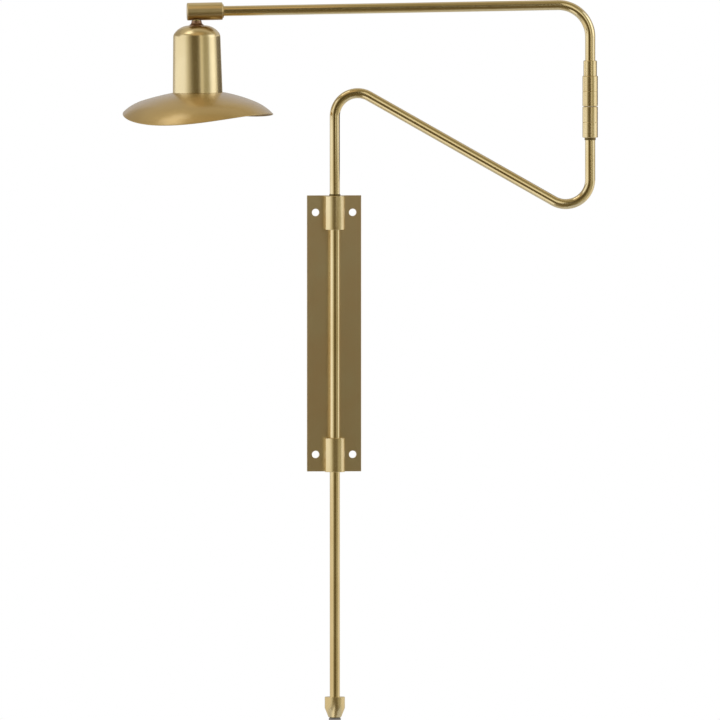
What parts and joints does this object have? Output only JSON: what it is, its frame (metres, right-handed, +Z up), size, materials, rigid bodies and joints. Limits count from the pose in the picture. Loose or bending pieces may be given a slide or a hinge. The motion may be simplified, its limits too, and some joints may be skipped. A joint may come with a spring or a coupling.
{
  "type": "swing arm wall lamp",
  "caption": "Brass wall lamp: a flat plate with two collars holds a tube post whose jointed arms swing out and carry a cup-shaped lamp head with a wide wavy shade that tilts and turns.",
  "frame": {"origin": "centre of the wall plate's back face, which lies on the wall", "axes": "+Z up along the post, +Y into the wall, -Y out into the room, +X towards the elbow when the arms are folded along the wall as pictured"},
  "size_m": [0.4481, 0.1419, 0.6782],
  "materials": {
    "satin_brass": "brushed, lightly polished",
    "plate_brass": "satin, slightly toned",
    "shade_brass": "matt satin",
    "bronze": "plain turned",
    "dark_steel": "bronzed",
    "zinc_steel": "yellow zinc plated",
    "fibre": "plain, pale",
    "grey_rubber": "matt",
    "flex_sheath": "matt, pale",
    "black_phenolic": "moulded gloss",
    "porcelain": "glazed",
    "contact_brass": "plain rolled"
  },
  "bodies": {
    "wall_bracket": {"wall_plate": "plate_brass", "upper_collar": "satin_brass", "lower_collar": "satin_brass", "upper_collar_bush": "bronze", "lower_collar_bush": "bronze", "collar_screws": "zinc_steel"},
    "lower_arm": {"lower_arm_tube": "satin_brass", "post_stop_ring": "dark_steel", "lower_flex": "flex_sheath", "cord_gland": "satin_brass", "gland_grommet": "grey_rubber", "elbow_base_ring": "dark_steel", "elbow_lower_sleeve": "satin_brass", "elbow_spindle": "zinc_steel", "spindle_clip": "dark_steel", "elbow_thrust_washer": "fibre"},
    "upper_arm": {"upper_arm_tube": "satin_brass", "upper_flex": "flex_sheath", "elbow_ferrule": "satin_brass", "elbow_upper_sleeve": "satin_brass", "elbow_bush_lower": "bronze", "elbow_bush_upper": "bronze"},
    "head_block": {"end_block": "satin_brass", "tilt_bush": "satin_brass", "tilt_screw": "zinc_steel", "neck_nipple": "zinc_steel", "nipple_locknut": "zinc_steel", "head_flex": "flex_sheath", "lampholder_cap": "black_phenolic", "lampholder_body": "black_phenolic", "lampholder_insert": "porcelain", "terminal_screws": "zinc_steel", "screw_shell": "contact_brass", "centre_contact": "contact_brass", "shade_ring": "black_phenolic"},
    "shade_head": {"neck_collar": "satin_brass", "swivel_washer": "fibre", "cup": "satin_brass", "shade": "shade_brass"}
  },
  "joints": [
    {"name": "post_swing", "type": "hinge", "parent": "wall_bracket", "child": "lower_arm", "pos_m": [0, -0.01262, 0], "axis": [0, 0, -1], "range_deg": [0, 180]},
    {"name": "elbow_swing", "type": "hinge", "parent": "lower_arm", "child": "upper_arm", "pos_m": [0.2409, -0.01262, 0.21323], "axis": [0, 0, 1], "range_deg": [-170, 170]},
    {"name": "shade_tilt", "type": "hinge", "parent": "upper_arm", "child": "head_block", "pos_m": [-0.13045, -0.01262, 0.30376], "axis": [-0.9999, 0, -0.0155], "range_deg": [-90, 90]},
    {"name": "shade_swivel", "type": "hinge", "parent": "head_block", "child": "shade_head", "pos_m": [-0.13045, -0.01262, 0.30376], "axis": [-0.0155, 0, 0.9999], "continuous": true}
  ]
}
